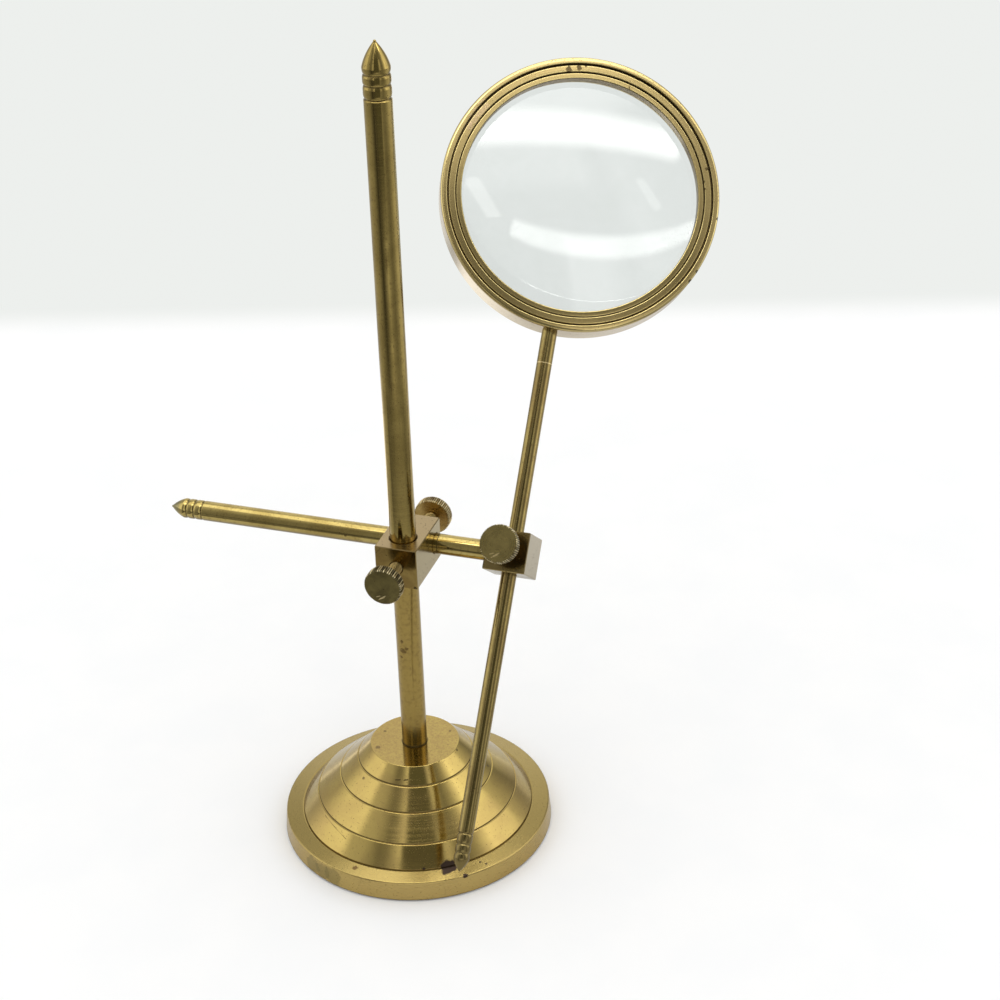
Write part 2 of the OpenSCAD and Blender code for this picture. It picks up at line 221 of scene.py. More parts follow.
def grooves(end):
    """Depths of the three grooves below the tip of a pointed end."""
    nose, neck, bead1, bead2 = end[:4]
    first = nose + neck + GROOVE_FLAT / 2
    second = first + bead1 + GROOVE_FLAT
    return first, second, second + bead2 + GROOVE_FLAT


def finial(tip, r, end, n=10):
    """Edge of a rod's pointed end, from the tip down to the last groove."""
    nose, neck, bead1, bead2, deep = end
    blunt = TIP_STEPS[-1]
    depths = TIP_STEPS + [blunt + (nose - blunt) * i / 22 for i in range(1, 23)]
    points = [(0, tip)] + [(nose_r(d, nose, r), tip - d) for d in depths]
    points += [(r - deep * (i / n) ** 3, tip - nose - neck * i / n) for i in range(1, n + 1)]
    first, second, last = grooves(end)
    points += bead(tip - first - GROOVE_FLAT / 2, bead1, r, deep)
    points += bead(tip - second - GROOVE_FLAT / 2, bead2, r, deep)
    below = tip - last - GROOVE_FLAT / 2
    for in_by, down_by in ((1, 0), (0.6, 0.55), (0.15, 0.9), (0, 1.3)):
        points.append((r - deep * in_by, below - deep * down_by))
    return points


def new_object(name, data):
    """Make an object of a mesh or a camera, in the scene."""
    made = bpy.data.objects.new(name, data)
    bpy.context.scene.collection.objects.link(made)
    return made


def shank(profile, r, end, n):
    """Steps of a rod's straight part, from the end of its profile down to a height."""
    start = profile[-1][1]
    return [(r, start + (end - start) * i / n) for i in range(1, n)] + [(r, end)]


def lathe(name, place, profile, segments=128, closed=False, shape=None):
    """Turn a profile about the Z axis of a place into a mesh object. A closed profile makes a ring."""
    mesh = bmesh.new()
    rings = []
    for r, z in profile:
        if r < 1e-6:
            rings.append([mesh.verts.new((0, 0, z * MM))])
            continue
        ring = []
        for k in range(segments):
            a = tau * k / segments
            rr = shape(r, z, a) if shape else r
            ring.append(mesh.verts.new((rr * cos(a) * MM, rr * sin(a) * MM, z * MM)))
        rings.append(ring)
    pairs = list(zip(rings, rings[1:]))
    if closed:
        pairs.append((rings[-1], rings[0]))
    for upper, lower in pairs:
        for k in range(segments):
            n = (k + 1) % segments
            if len(upper) == 1 and len(lower) == 1:
                continue
            if len(upper) == 1:
                mesh.faces.new((upper[0], lower[k], lower[n]))
            elif len(lower) == 1:
                mesh.faces.new((upper[k], lower[0], upper[n]))
            else:
                mesh.faces.new((upper[k], lower[k], lower[n], upper[n]))
    bmesh.ops.recalc_face_normals(mesh, faces=mesh.faces[:])
    placed = place.copy()
    placed.translation = place.translation * MM
    mesh.transform(placed)
    for face in mesh.faces:
        face.smooth = True
    data = bpy.data.meshes.new(name)
    mesh.to_mesh(data)
    mesh.free()
    data.set_sharp_from_angle(angle=radians(SHARP_ANGLE))
    piece = new_object(name, data)
    normals = piece.modifiers.new("even_shading", "WEIGHTED_NORMAL")
    normals.mode = "FACE_AREA"
    normals.keep_sharp = True
    return piece


def settle(piece, body, material, slot, *nodes):
    """Put a piece on its body, in place of its CAD nodes, with its material."""
    piece.data.materials.append(material)
    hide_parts(*nodes)
    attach(piece, body)
    return piece


class Nodes:
    """Adds shader nodes to a tree with short calls."""

    def __init__(self, tree):
        self.tree = tree
        tree.nodes.clear()

    def node(self, kind, **settings):
        made = self.tree.nodes.new(kind)
        for key, value in settings.items():
            setattr(made, key, value)
        return made

    def feed(self, socket, value):
        if isinstance(value, bpy.types.NodeSocket):
            self.tree.links.new(value, socket)
        else:
            socket.default_value = value

    def split(self, vector):
        made = self.node("ShaderNodeSeparateXYZ")
        self.feed(made.inputs[0], vector)
        return made.outputs[0], made.outputs[1], made.outputs[2]

    def join(self, x, y, z):
        made = self.node("ShaderNodeCombineXYZ")
        for socket, value in zip(made.inputs, (x, y, z)):
            self.feed(socket, value)
        return made.outputs[0]

    def math(self, operation, a, b=0.0, clamp=False):
        made = self.node("ShaderNodeMath", operation=operation, use_clamp=clamp)
        self.feed(made.inputs[0], a)
        self.feed(made.inputs[1], b)
        return made.outputs[0]

    def plus(self, a, b):
        return self.math("ADD", a, b)

    def times(self, a, b):
        return self.math("MULTIPLY", a, b)

    def vector_math(self, operation, a, b):
        made = self.node("ShaderNodeVectorMath", operation=operation)
        self.feed(made.inputs[0], a)
        self.feed(made.inputs[1], b)
        return made.outputs["Value"] if operation in ("DOT_PRODUCT", "DISTANCE") else made.outputs[0]

    def rise(self, value, low, high, bottom=0.0, top=1.0):
        """Goes smoothly from bottom to top as the value goes from low to high."""
        made = self.node("ShaderNodeMapRange", interpolation_type="SMOOTHSTEP")
        for socket, given in zip(made.inputs, (value, low, high, bottom, top)):
            self.feed(socket, given)
        return made.outputs[0]

    def within(self, value, low, high, soft):
        """One between low and high, and zero outside, with soft edges."""
        return self.times(self.rise(value, low - soft, low + soft),
                          self.rise(value, high - soft, high + soft, 1.0, 0.0))

    def mix(self, factor, a, b):
        made = self.node("ShaderNodeMix", data_type="RGBA")
        self.feed(made.inputs[0], factor)
        self.feed(made.inputs[6], a if isinstance(a, bpy.types.NodeSocket) else (*a, 1))
        self.feed(made.inputs[7], b if isinstance(b, bpy.types.NodeSocket) else (*b, 1))
        return made.outputs[2]

    def blend(self, factor, a, b):
        """Mix two shaders."""
        made = self.node("ShaderNodeMixShader")
        for socket, value in zip(made.inputs, (factor, a, b)):
            self.feed(socket, value)
        return made.outputs[0]

    def noise(self, vector, scale, detail=3.0, roughness=0.5, distortion=0.0):
        made = self.node("ShaderNodeTexNoise")
        self.feed(made.inputs["Vector"], vector)
        made.inputs["Scale"].default_value = scale
        made.inputs["Detail"].default_value = detail
        made.inputs["Roughness"].default_value = roughness
        made.inputs["Distortion"].default_value = distortion
        return made.outputs[0]

    def round_about(self, angle, levels):
        """Value at an angle in radians, from a list of (degrees, value) that runs once round."""
        ramp = self.node("ShaderNodeValToRGB")
        self.feed(ramp.inputs[0], self.plus(self.math("DIVIDE", angle, tau), 0.5))
        levels = levels + [(180, levels[0][1])]
        stops = ramp.color_ramp.elements
        for degrees, level in levels[1:-1]:
            stops.new((degrees + 180) / 360)
        for stop, (degrees, level) in zip(stops, levels):
            stop.position = (degrees + 180) / 360
            stop.color = (level / 2, level / 2, level / 2, 1)
        return self.times(ramp.outputs[0], 2.0)


class Shader(Nodes):
    """One procedural material. Lengths are in millimetres, in the axes of the piece's place."""

    def __init__(self, name, place=HERE):
        self.material = bpy.data.materials.new(name)
        self.material.use_nodes = True
        super().__init__(self.material.node_tree)
        self.output = self.node("ShaderNodeOutputMaterial")
        coordinates = self.node("ShaderNodeTexCoord").outputs
        back = place.inverted()
        self.whole = self.mapped(coordinates["Object"], "POINT", Scale=(1 / MM, 1 / MM, 1 / MM))
        self.place = self.mapped(self.whole, "POINT", Rotation=back.to_euler(), Location=back.translation)
        self.normal = self.mapped(coordinates["Normal"], "VECTOR", Rotation=back.to_euler())
        self.forward = place.to_euler()
        self.x, self.y, self.z = self.split(self.place)
        square = self.plus(self.times(self.x, self.x), self.times(self.y, self.y))
        self.radius = self.math("SQRT", square)
        self.angle = self.math("ARCTAN2", self.y, self.x)

    def mapped(self, vector, kind, **settings):
        """Move, turn or scale a vector."""
        made = self.node("ShaderNodeMapping", vector_type=kind)
        self.feed(made.inputs["Vector"], vector)
        for key, value in settings.items():
            made.inputs[key].default_value = value
        return made.outputs[0]

    def spot(self, centre, size, ragged=0.3):
        """Mask of a ragged spot about a point."""
        edge = self.math("SUBTRACT", self.noise(self.place, 1.2 / size, 2.0), 0.5)
        distance = self.plus(self.vector_math("DISTANCE", self.place, centre),
                             self.times(edge, 4 * ragged * size))
        return self.rise(distance, size * 0.8, size * 1.1, 1.0, 0.0)

    def streak(self, start, end, half):
        """Mask of a thin scratch between two points."""
        start = Vector(start)
        along = Vector(end) - start
        offset = self.vector_math("SUBTRACT", self.place, start)
        run = self.vector_math("DOT_PRODUCT", offset, along)
        share = self.math("DIVIDE", run, along.length_squared, clamp=True)
        nearest = self.node("ShaderNodeVectorMath", operation="SCALE")
        nearest.inputs[0].default_value = along
        self.feed(nearest.inputs["Scale"], share)
        nearest = self.vector_math("ADD", nearest.outputs[0], start)
        return self.rise(self.vector_math("DISTANCE", self.place, nearest), half * 0.5, half, 1.0, 0.0)

    def line(self, coordinate, at, half):
        """Mask of a thin line where a coordinate has a value."""
        away = self.math("ABSOLUTE", self.math("SUBTRACT", coordinate, at))
        return self.rise(away, half * 0.5, half, 1.0, 0.0)

    def facing(self, axis, low=0.6, high=0.9):
        """Mask of the faces that look along an axis of the piece."""
        return self.rise(self.vector_math("DOT_PRODUCT", self.normal, axis), low, high)

    def round_axis(self):
        """Direction round the piece's axis, for the run of its turning marks."""
        around = self.join(self.times(self.y, -1.0), self.x, 0.0)
        around = self.mapped(around, "VECTOR", Rotation=self.forward)
        world = self.node("ShaderNodeVectorTransform", vector_type="VECTOR",
                          convert_from="OBJECT", convert_to="WORLD")
        self.feed(world.inputs[0], around)
        length = self.node("ShaderNodeVectorMath", operation="NORMALIZE")
        self.feed(length.inputs[0], world.outputs[0])
        return length.outputs[0]


class Brass(Shader):
    """Old brass: an uneven tone, a gloss that varies, and a fine relief."""

    def __init__(self, name, place, tone, aged, gloss, patches=0.05):
        super().__init__(name, place)
        cloud = self.noise(self.whole, patches, 4.0, 0.6, 0.4)
        self.tone = self.mix(self.rise(cloud, 0.35, 0.68), tone, aged)
        fine = self.noise(self.whole, 0.55, 4.0, 0.65)
        self.tone = self.mix(self.rise(fine, 0.45, 0.8, 0.0, 0.4), self.tone, aged)
        self.gloss = self.plus(gloss, self.rise(cloud, 0.3, 0.75, -0.03, 0.06))
        self.height = 0.0

    def stain(self, mask, colour, gloss=None, amount=1.0):
        """Lay a colour, and a gloss where one is given, over what a mask covers."""
        if amount != 1.0:
            mask = self.times(mask, amount)
        self.tone = self.mix(mask, self.tone, colour)
        if gloss is not None:
            gap = self.math("SUBTRACT", gloss, self.gloss)
            self.gloss = self.plus(self.gloss, self.times(mask, gap))

    def relief(self, value, depth):
        self.height = self.plus(self.height, self.times(value, depth))

    def turning_marks(self, depth, pitch=0.5):
        """Fine lines round the axis, which also vary the gloss a little."""
        vector = self.join(self.times(self.radius, 1 / pitch), self.times(self.z, 1 / pitch),
                           self.times(self.angle, 0.35))
        marks = self.noise(vector, 1.0, 5.0, 0.7)
        self.relief(marks, depth)
        self.gloss = self.plus(self.gloss, self.rise(marks, 0.35, 0.7, -0.03, 0.05))

    def scratches(self, depth, along, dull):
        """Fine hairlines, long in one direction, which dull the gloss."""
        x, y, z = (self.times(c, f) for c, f in zip((self.x, self.y, self.z), along))
        lines = self.noise(self.join(x, y, z), 1.0, 6.0, 0.75)
        self.relief(lines, depth)
        self.gloss = self.plus(self.gloss, self.rise(lines, 0.5, 0.8, 0.0, dull))

    def specks(self, size, sparse, colour, amount=0.8):
        """Small dark pits scattered over the surface. They are fewer where sparse is larger."""
        cells = self.node("ShaderNodeTexVoronoi", feature="F1")
        self.feed(cells.inputs["Vector"], self.whole)
        cells.inputs["Scale"].default_value = 1 / (4 * size)
        chosen = self.math("LESS_THAN", self.noise(cells.outputs["Position"], 37.0, 0.0), 0.5 - sparse)
        dot = self.rise(cells.outputs["Distance"], 0.12, 0.26, 1.0, 0.0)
        self.stain(self.times(dot, chosen), colour, 0.6, amount)

    def done(self, anisotropy=0.0):
        """Finish the material. Anisotropy spreads the gloss across the turning marks."""
        surface = self.node("ShaderNodeBsdfPrincipled")
        self.feed(surface.inputs["Base Color"], self.tone)
        surface.inputs["Metallic"].default_value = 1.0
        self.feed(surface.inputs["Roughness"], self.math("MAXIMUM", self.gloss, 0.06))
        if anisotropy:
            self.feed(surface.inputs["Anisotropic"], anisotropy)
            surface.inputs["Anisotropic Rotation"].default_value = 0.25
            self.feed(surface.inputs["Tangent"], self.round_axis())
        bump = self.node("ShaderNodeBump")
        bump.inputs["Distance"].default_value = MM
        self.feed(bump.inputs["Height"], self.height)
        self.feed(surface.inputs["Normal"], bump.outputs[0])
        self.feed(self.output.inputs["Surface"], surface.outputs[0])
        return self.material


GOLD = (0.50, 0.375, 0.118)
# Dark colour of grime, which also paints a shadow along the base's lowest edge
GRIME_AND_SHADE = (0.05, 0.033, 0.016)
BLOTCH = (0.035, 0.022, 0.024)
RUST = (0.16, 0.075, 0.045)
PINK = (0.50, 0.36, 0.25)
BRIGHT = (0.85, 0.68, 0.36)

# Spots on the base: azimuth in degrees, radius and size in millimetres
BASE_SPOTS = [(-55.8, 56.5, 4.0), (-67.3, 55.5, 0.7), (-50, 64.2, 1.3), (-126.4, 30, 0.8),
              (-146, 18.3, 1.2), (170, 16.8, 0.8), (40, 18.2, 0.7), (-3, 21.9, 0.7), (12, 35, 0.7),
              (-40.6, 59, 0.6), (-39, 61.6, 0.6)]
# Scratches on the base: azimuth and radius of both ends, half of the width, and strength
BASE_SCRATCHES = [((-91, 26.1), (-86, 25.8), 0.35, 0.95), ((-82, 25.8), (-78, 25.6), 0.35, 0.95),
                  ((-134, 49.2), (-123, 49.6), 0.25, 0.6), ((-123, 49.6), (-112, 50.8), 0.25, 0.6),
                  ((-63, 53.5), (-61.5, 57.5), 0.25, 0.7)]
# Spots on the pole's front, the last of them a painted shadow at its left edge: X, height and size in
# millimetres
POLE_SPOTS_AND_SHADOW = [(-1.4, 105, 0.9), (-1, 100, 1.4), (0.9, 101.5, 0.9), (-2, 96.5, 0.7), (-4.8, 118, 0.9)]


def on_base(azimuth, r):
    """Point on the base's outside."""
    return r * cos(radians(azimuth)), r * sin(radians(azimuth)), base_height(r)


def base_brass():
    brass = Brass("base_brass", HERE, GOLD, (0.43, 0.31, 0.105), 0.12, 0.04)
    brass.turning_marks(0.01, 0.7)
    brass.relief(brass.noise(brass.place, 0.12, 2.0), 0.03)
    # The rim's top falls away a little towards its edge
    rim = brass.times(brass.rise(brass.radius, BELL_FOOT[0] - 0.5, BELL_FOOT[0] + 0.3),
                      brass.math("SUBTRACT", BELL_FOOT[0], brass.radius))
    brass.relief(rim, 0.17)
    brass.stain(brass.within(brass.radius, BELL_FOOT[0], RIM_TOP[0], 0.4), (0.385, 0.29, 0.10), 0.28, 0.9)
    side = brass.rise(brass.radius, RIM_TOP[0] - 0.2, RIM_TOP[0] + 0.1)
    brass.stain(side, (0.58, 0.42, 0.155), 0.33, 0.6)
    for azimuth, r, size in BASE_SPOTS:
        brass.stain(brass.spot(on_base(azimuth, r), size), BLOTCH, 0.4, 0.95 if r > 40 else 0.6)
    brass.stain(brass.spot(on_base(-100, 59.5), 1.3), (0.13, 0.075, 0.03), 0.35, 0.85)
    for azimuth in (-121, -115, -109):
        brass.stain(brass.spot(on_base(azimuth, 64.8), 4.5, 0.4), (0.22, 0.18, 0.07), 0.35, 0.5)
    for start, end, half, amount in BASE_SCRATCHES:
        brass.stain(brass.streak(on_base(*start), on_base(*end), half), GRIME_AND_SHADE, 0.4, amount)
    disc = brass.rise(brass.radius, TOP_EDGE[0] - 0.8, TOP_EDGE[0] - 0.4, 1.0, 0.0)
    mottle = brass.rise(brass.noise(brass.place, 0.9, 4.0, 0.65), 0.4, 0.65)
    brass.stain(brass.times(disc, mottle), (0.34, 0.22, 0.09), 0.22, 0.5)
    # Darker lines along the bottoms of the grooves
    for _, bottom, _ in base_grooves():
        brass.stain(brass.line(brass.radius, bottom.x, 0.16), GRIME_AND_SHADE, 0.5, 0.7)
    # Painted shadow: a dark band along the base's lowest edge, next to the floor
    brass.stain(brass.rise(brass.z, FELT_PROUD + 0.2, FELT_PROUD + 0.9, 1.0, 0.0), GRIME_AND_SHADE, 0.5, 0.7)
    brass.stain(brass.rise(brass.radius, POLE_R, POLE_R + 0.7, 1.0, 0.0), GRIME_AND_SHADE, 0.4, 0.8)
    brass.specks(0.22, 0.04, GRIME_AND_SHADE)
    return brass.done(0.3)


def rod_brass(name, place, tone, aged, gloss, tip, end):
    """Brass of a turned rod with dark grooves at its pointed end."""
    brass = Brass(name, place, tone, aged, gloss, 0.06)
    brass.turning_marks(0.004, 0.6)
    fine = brass.join(brass.times(brass.angle, 6.0), 0.0, brass.times(brass.z, 0.06))
    hairs = brass.noise(fine, 1.0, 4.0, 0.7)
    brass.gloss = brass.plus(brass.gloss, brass.rise(hairs, 0.5, 0.8, 0.0, 0.05))
    waves = brass.join(brass.x, brass.y, brass.times(brass.z, 0.1))
    brass.relief(brass.noise(waves, 0.3, 2.0), 0.01)
    for groove in grooves(end):
        brass.stain(brass.line(brass.z, tip - groove, 0.5), GRIME_AND_SHADE, 0.4, 0.6)
    brass.stain(brass.rise(hairs, 0.52, 0.75), (0.20, 0.13, 0.04), None, 0.5)
    mottle = brass.noise(brass.whole, 0.8, 3.0, 0.6)
    brass.stain(brass.rise(mottle, 0.53, 0.7), (0.20, 0.13, 0.045), 0.25, 0.5)
    brass.specks(0.25, 0.08, GRIME_AND_SHADE)
    return brass


def pole_brass():
    brass = rod_brass("pole_brass", HERE, (0.40, 0.30, 0.095), (0.31, 0.23, 0.07), 0.1, POLE_TIP, POLE_END)
    below = brass.rise(brass.z, ARM_Z - 14, ARM_Z - 9, 1.0, 0.0)
    brass.stain(below, (0.36, 0.255, 0.075), 0.2, 0.85)
    cloud = brass.rise(brass.noise(brass.whole, 0.5, 4.0, 0.7), 0.5, 0.62)
    brass.stain(brass.times(below, cloud), (0.20, 0.13, 0.045), None, 0.45)
    # The last spot is a painted shadow at the pole's left edge, not a mark on the brass
    for x, z, size in POLE_SPOTS_AND_SHADOW:
        on_pole = (x, -sqrt(POLE_R ** 2 - x ** 2), z)
        brass.stain(brass.spot(on_pole, size, 0.6), (0.13, 0.08, 0.03), 0.35, 0.75)
    # Painted reflection: a darker olive band at the pole's foot, where it mirrors the base's top
    foot = brass.rise(brass.z, BASE_H + 6, BASE_H + 12, 1.0, 0.0)
    brass.stain(foot, (0.27, 0.205, 0.07), 0.2, 0.85)
    brass.stain(brass.rise(brass.z, BASE_H + 0.3, BASE_H + 1.5, 1.0, 0.0), GRIME_AND_SHADE, 0.5, 0.7)
    return brass.done(brass.rise(brass.z, POLE_TIP - 25, POLE_TIP - 22, 0.8, 0.2))


def arm_brass():
    brass = rod_brass("arm_brass", AT_ARM_ROD, (0.50, 0.39, 0.135), (0.38, 0.285, 0.09), 0.09,
                      ARM_LEFT, ARM_END)
    brass.stain(brass.spot((0.4, -4.7, 33), 0.8), GRIME_AND_SHADE, 0.5, 0.7)
    brass.stain(brass.spot((1, -4.6, 36), 0.5), GRIME_AND_SHADE, 0.5, 0.7)
    brass.stain(brass.line(brass.z, -12, 0.3), GRIME_AND_SHADE, 0.5, 0.8)
    # Painted shade: the arm's downward-facing side is darker
    shaded_underside = brass.facing((-1, 0, 0), 0.2, 0.7)
    brass.stain(shaded_underside, (0.19, 0.15, 0.085), 0.2, 0.9)
    nose = brass.rise(brass.z, ARM_LEFT - 7, ARM_LEFT - 4)
    brass.stain(nose, (0.24, 0.225, 0.12), 0.22, 0.75)
    return brass.done(0.5)


def lens_rod_brass():
    brass = rod_brass("lens_rod_brass", AT_LENS_ROD, (0.32, 0.25, 0.09), (0.24, 0.175, 0.065), 0.11,
                      ROD_BELOW, ROD_END)
    brass.stain(brass.line(brass.z, -89.6, 0.3), BRIGHT, 0.4, 0.6)
    brass.stain(brass.rise(brass.z, ROD_BELOW - 20, ROD_BELOW - 12), (0.19, 0.145, 0.055), 0.22, 0.85)
    return brass.done(0.5)


def block_brass():
    brass = Brass("block_brass", HERE, (0.27, 0.19, 0.06), (0.20, 0.13, 0.04), 0.18, 0.09)
    brass.scratches(0.005, (0.1, 1.6, 1.6), 0.08)
    # Painted light: the faces that look right and up are lighter than the front
    brass.stain(brass.facing((1, 0, 0)), (0.39, 0.315, 0.155), 0.2, 0.9)
    brass.stain(brass.facing((0, 0, 1)), (0.41, 0.31, 0.165), 0.28, 0.85)
    hole_edge = brass.times(brass.facing((0, 0, 1)),
                            brass.rise(brass.radius, POLE_R + 0.5, POLE_R + 0.9, 1.0, 0.0))
    brass.stain(hole_edge, GRIME_AND_SHADE, 0.5, 0.9)
    brass.stain(brass.spot((8.9, -10.8, 139), 0.9), GRIME_AND_SHADE, 0.5, 0.8)
    brass.specks(0.35, 0.06, GRIME_AND_SHADE)
    return brass.done()


def end_brass():
    brass = Brass("end_brass", AT_END, (0.31, 0.235, 0.09), (0.23, 0.165, 0.06), 0.17, 0.09)
    brass.scratches(0.005, (0.1, 1.6, 1.6), 0.08)
    # Painted light: the face that looks right is paler
    brass.stain(brass.facing((1, 0, 0)), (0.43, 0.37, 0.245), 0.22, 0.95)
    brass.specks(0.35, 0.06, GRIME_AND_SHADE)
    return brass.done()


# Tone, aged tone and gloss of each thumbscrew's head
KNOB_TONES = {"pole": ((0.155, 0.125, 0.045), (0.10, 0.08, 0.03), 0.2),
              "arm": ((0.45, 0.315, 0.11), (0.34, 0.22, 0.07), 0.25),
              "lens": ((0.35, 0.275, 0.10), (0.23, 0.18, 0.065), 0.22)}
# Scratches on a head's face: X and Y of both ends
HEAD_SCRATCHES = [((-2.2, -6.6), (0.8, -5.0)), ((-1.4, -5.9), (1.2, -4.2)), ((-3.0, -5.2), (-1.4, -4.6))]


def knob_brass(name, head, tone, aged, gloss):
    brass = Brass(name, head, tone, aged, gloss, 0.16)
    brass.turning_marks(0.006, 0.5)
    # Painted shade in the valleys and painted highlights on the ridges, round the side and both bevels
    turns = brass.math("FRACT", brass.times(brass.angle, RIDGES / tau))
    tooth = brass.math("ABSOLUTE", brass.math("SUBTRACT", brass.times(turns, 2.0), 1.0))
    outer = brass.rise(brass.radius, KNOB_R - 0.75, KNOB_R - 0.6)
    shaded_valley = brass.times(outer, brass.rise(tooth, 0.4, 0.58, 1.0, 0.0))
    brass.stain(shaded_valley, (0.012, 0.01, 0.006), 0.5, 0.97)
    around = brass.join(brass.times(brass.angle, 1.15 * RIDGES / tau), 0.0, brass.times(brass.z, 0.1))
    highlight_share = brass.rise(brass.noise(around, 1.0, 1.0), 0.4, 0.6, 0.05, 0.9)
    ridge_highlight = brass.times(brass.times(outer, highlight_share), brass.rise(tooth, 0.5, 0.65))
    brass.stain(ridge_highlight, (0.90, 0.76, 0.44), 0.35, 0.95)
    for start, end in HEAD_SCRATCHES:
        brass.stain(brass.streak((*start, KNOB_T), (*end, KNOB_T), 0.22), BRIGHT, 0.3, 0.6)
    brass.specks(0.3, 0.08, GRIME_AND_SHADE)
    return brass.done(0.4)


def screw_brass(name, foot):
    brass = Brass(name, foot, (0.42, 0.31, 0.12), (0.30, 0.21, 0.08), 0.22, 0.3)
    root = brass.rise(brass.radius, SCREW_R - 0.5, SCREW_R - 0.2, 1.0, 0.0)
    brass.stain(root, GRIME_AND_SHADE, 0.5, 0.7)
    return brass.done()


# Spots on the rings: angle in degrees about the lens's axis, radius and size in millimetres
RING_SPOTS = [(104.6, 59.6, 1.5), (100, 60, 1.3), (97, 61.2, 0.7), (75.3, 56.3, 0.9), (22, 60.8, 0.9),
              (16.5, 58, 0.8), (13, 58.3, 0.6), (0, 64.8, 0.9), (-24, 64.9, 1.1), (-29, 64.9, 1.1)]


def on_ring(degrees, r, z):
    """Point on the rings, at a height along the lens's axis."""
    return r * cos(radians(degrees)), r * sin(radians(degrees)), z


def ring_brass():
    brass = Brass("ring_brass", AT_LENS, (0.51, 0.39, 0.165), (0.43, 0.325, 0.135), 0.12, 0.05)
    brass.turning_marks(0.003, 0.5)
    for angle in (147, 151, 155, 159):
        brass.stain(brass.spot(on_ring(angle, 60.6, CELL_FRONT), 2.6, 0.5), PINK, 0.36, 0.4)
    for angle in range(8, 24, 2):
        brass.stain(brass.spot(on_ring(angle, FRAME_R, 8), 1.1, 0.8), RUST, 0.5, 0.7)
    for angle in range(-178, -160, 3):
        brass.stain(brass.spot(on_ring(angle, FRAME_R, 4), 2.4, 0.8), RUST, 0.45, 0.45)
    side = brass.rise(brass.radius, FRAME_R - 0.25, FRAME_R - 0.05)
    brass.stain(side, (0.46, 0.37, 0.23), 0.22, 0.7)
    bore = brass.rise(brass.radius, VIEW_R + 0.05, VIEW_R + 0.2, 1.0, 0.0)
    brass.stain(bore, (0.22, 0.17, 0.10), 0.3, 0.85)
    # Painted highlights: thin bright lines along the rings' edges
    highlit_edges = [(FRAME_R - 0.7, 0.6), (FRAME_BORE_R + 0.25, 0.25), (CELL_R - CELL_STEP - 0.3, 0.3),
                  (CELL_BORE_R + 0.25, 0.25), (RING_R - RING_STEP - 0.25, 0.25), (VIEW_R + 0.4, 0.3)]
    for r, half in highlit_edges:
        brass.stain(brass.line(brass.radius, r, half), (0.80, 0.68, 0.31), 0.2, 0.42)
    for angle, r, size in RING_SPOTS:
        brass.stain(brass.spot(on_ring(angle, r, 7.7), size), GRIME_AND_SHADE, 0.4, 0.85)
    # Painted shade: the narrow steps between the rings are darkened
    shaded_gaps = ((RING_R - RING_STEP, CELL_BORE_R, RING_FRONT), (CELL_R - CELL_STEP, FRAME_BORE_R, CELL_FRONT))
    for inner, outer, top in shaded_gaps:
        gap = brass.times(brass.within(brass.radius, inner - 0.02, outer + 0.03, 0.03),
                          brass.rise(brass.z, top + 0.1, top + 0.5, 1.0, 0.0))
        brass.stain(gap, (0.075, 0.05, 0.022), 0.6, 0.9)
    brass.relief(brass.noise(brass.place, 0.1, 2.0), 0.015)
    brass.specks(0.25, 0.03, GRIME_AND_SHADE)
    return brass.done(0.3)


def steel():
    metal = Brass("steel", HERE, (0.52, 0.52, 0.51), (0.36, 0.35, 0.33), 0.3, 0.2)
    metal.turning_marks(0.01, 0.5)
    return metal.done()


def felt():
    cloth = Shader("felt")
    fibres = cloth.noise(cloth.place, 2.2, 6.0, 0.8)
    tufts = cloth.noise(cloth.place, 0.25, 3.0)
    colour = cloth.mix(cloth.rise(fibres, 0.3, 0.7), (0.03, 0.085, 0.045), (0.07, 0.16, 0.085))
    colour = cloth.mix(cloth.rise(tufts, 0.4, 0.7, 0.0, 0.4), colour, (0.05, 0.10, 0.06))
    surface = cloth.node("ShaderNodeBsdfPrincipled")
    cloth.feed(surface.inputs["Base Color"], colour)
    surface.inputs["Sheen Weight"].default_value = 0.5
    cloth.feed(surface.inputs["Roughness"], cloth.rise(fibres, 0.2, 0.8, 0.8, 0.95))
    bump = cloth.node("ShaderNodeBump")
    bump.inputs["Distance"].default_value = 0.3 * MM
    cloth.feed(bump.inputs["Height"], fibres)
    cloth.feed(surface.inputs["Normal"], bump.outputs[0])
    cloth.feed(cloth.output.inputs["Surface"], surface.outputs[0])
    return cloth.material


def glass():
    """Clear glass with a faint cool tint and slight smears."""
    clear = Shader("glass", AT_LENS)
    smear = clear.noise(clear.place, 0.09, 4.0, 0.6, 0.8)
    surface = clear.node("ShaderNodeBsdfPrincipled")
    tint = clear.mix(clear.rise(smear, 0.3, 0.7), (0.915, 0.935, 0.935), (0.89, 0.915, 0.91))
    clear.feed(surface.inputs["Base Color"], tint)
    clear.feed(surface.inputs["Roughness"], clear.rise(smear, 0.5, 0.85, 0.0, 0.025))
    surface.inputs["IOR"].default_value = 1.6
    surface.inputs["Transmission Weight"].default_value = 1.0
    clear.feed(clear.output.inputs["Surface"], surface.outputs[0])
    return clear.material


# Pieces

def base_corners():
    """Corners of the base's outside, from its top down to its rim."""
    return [TOP_EDGE, GROOVE_3, GROOVE_2, GROOVE_1, BELL_FOOT, RIM_TOP]


def base_grooves():
    """Upper edge, bottom and lower edge of each groove of the base."""
    points = base_corners()
    out = []
    for above, here, below in zip(points, points[1:], points[2:]):
        slope = atan2(above[1] - below[1], below[0] - above[0])
        here = Vector(here)
        up = (Vector(above) - here).normalized() * GROOVE_W / 2
        down = (Vector(below) - here).normalized() * GROOVE_W / 2
        out.append((here + up, here - Vector((sin(slope), cos(slope))) * GROOVE_DEEP, here + down))
    return out


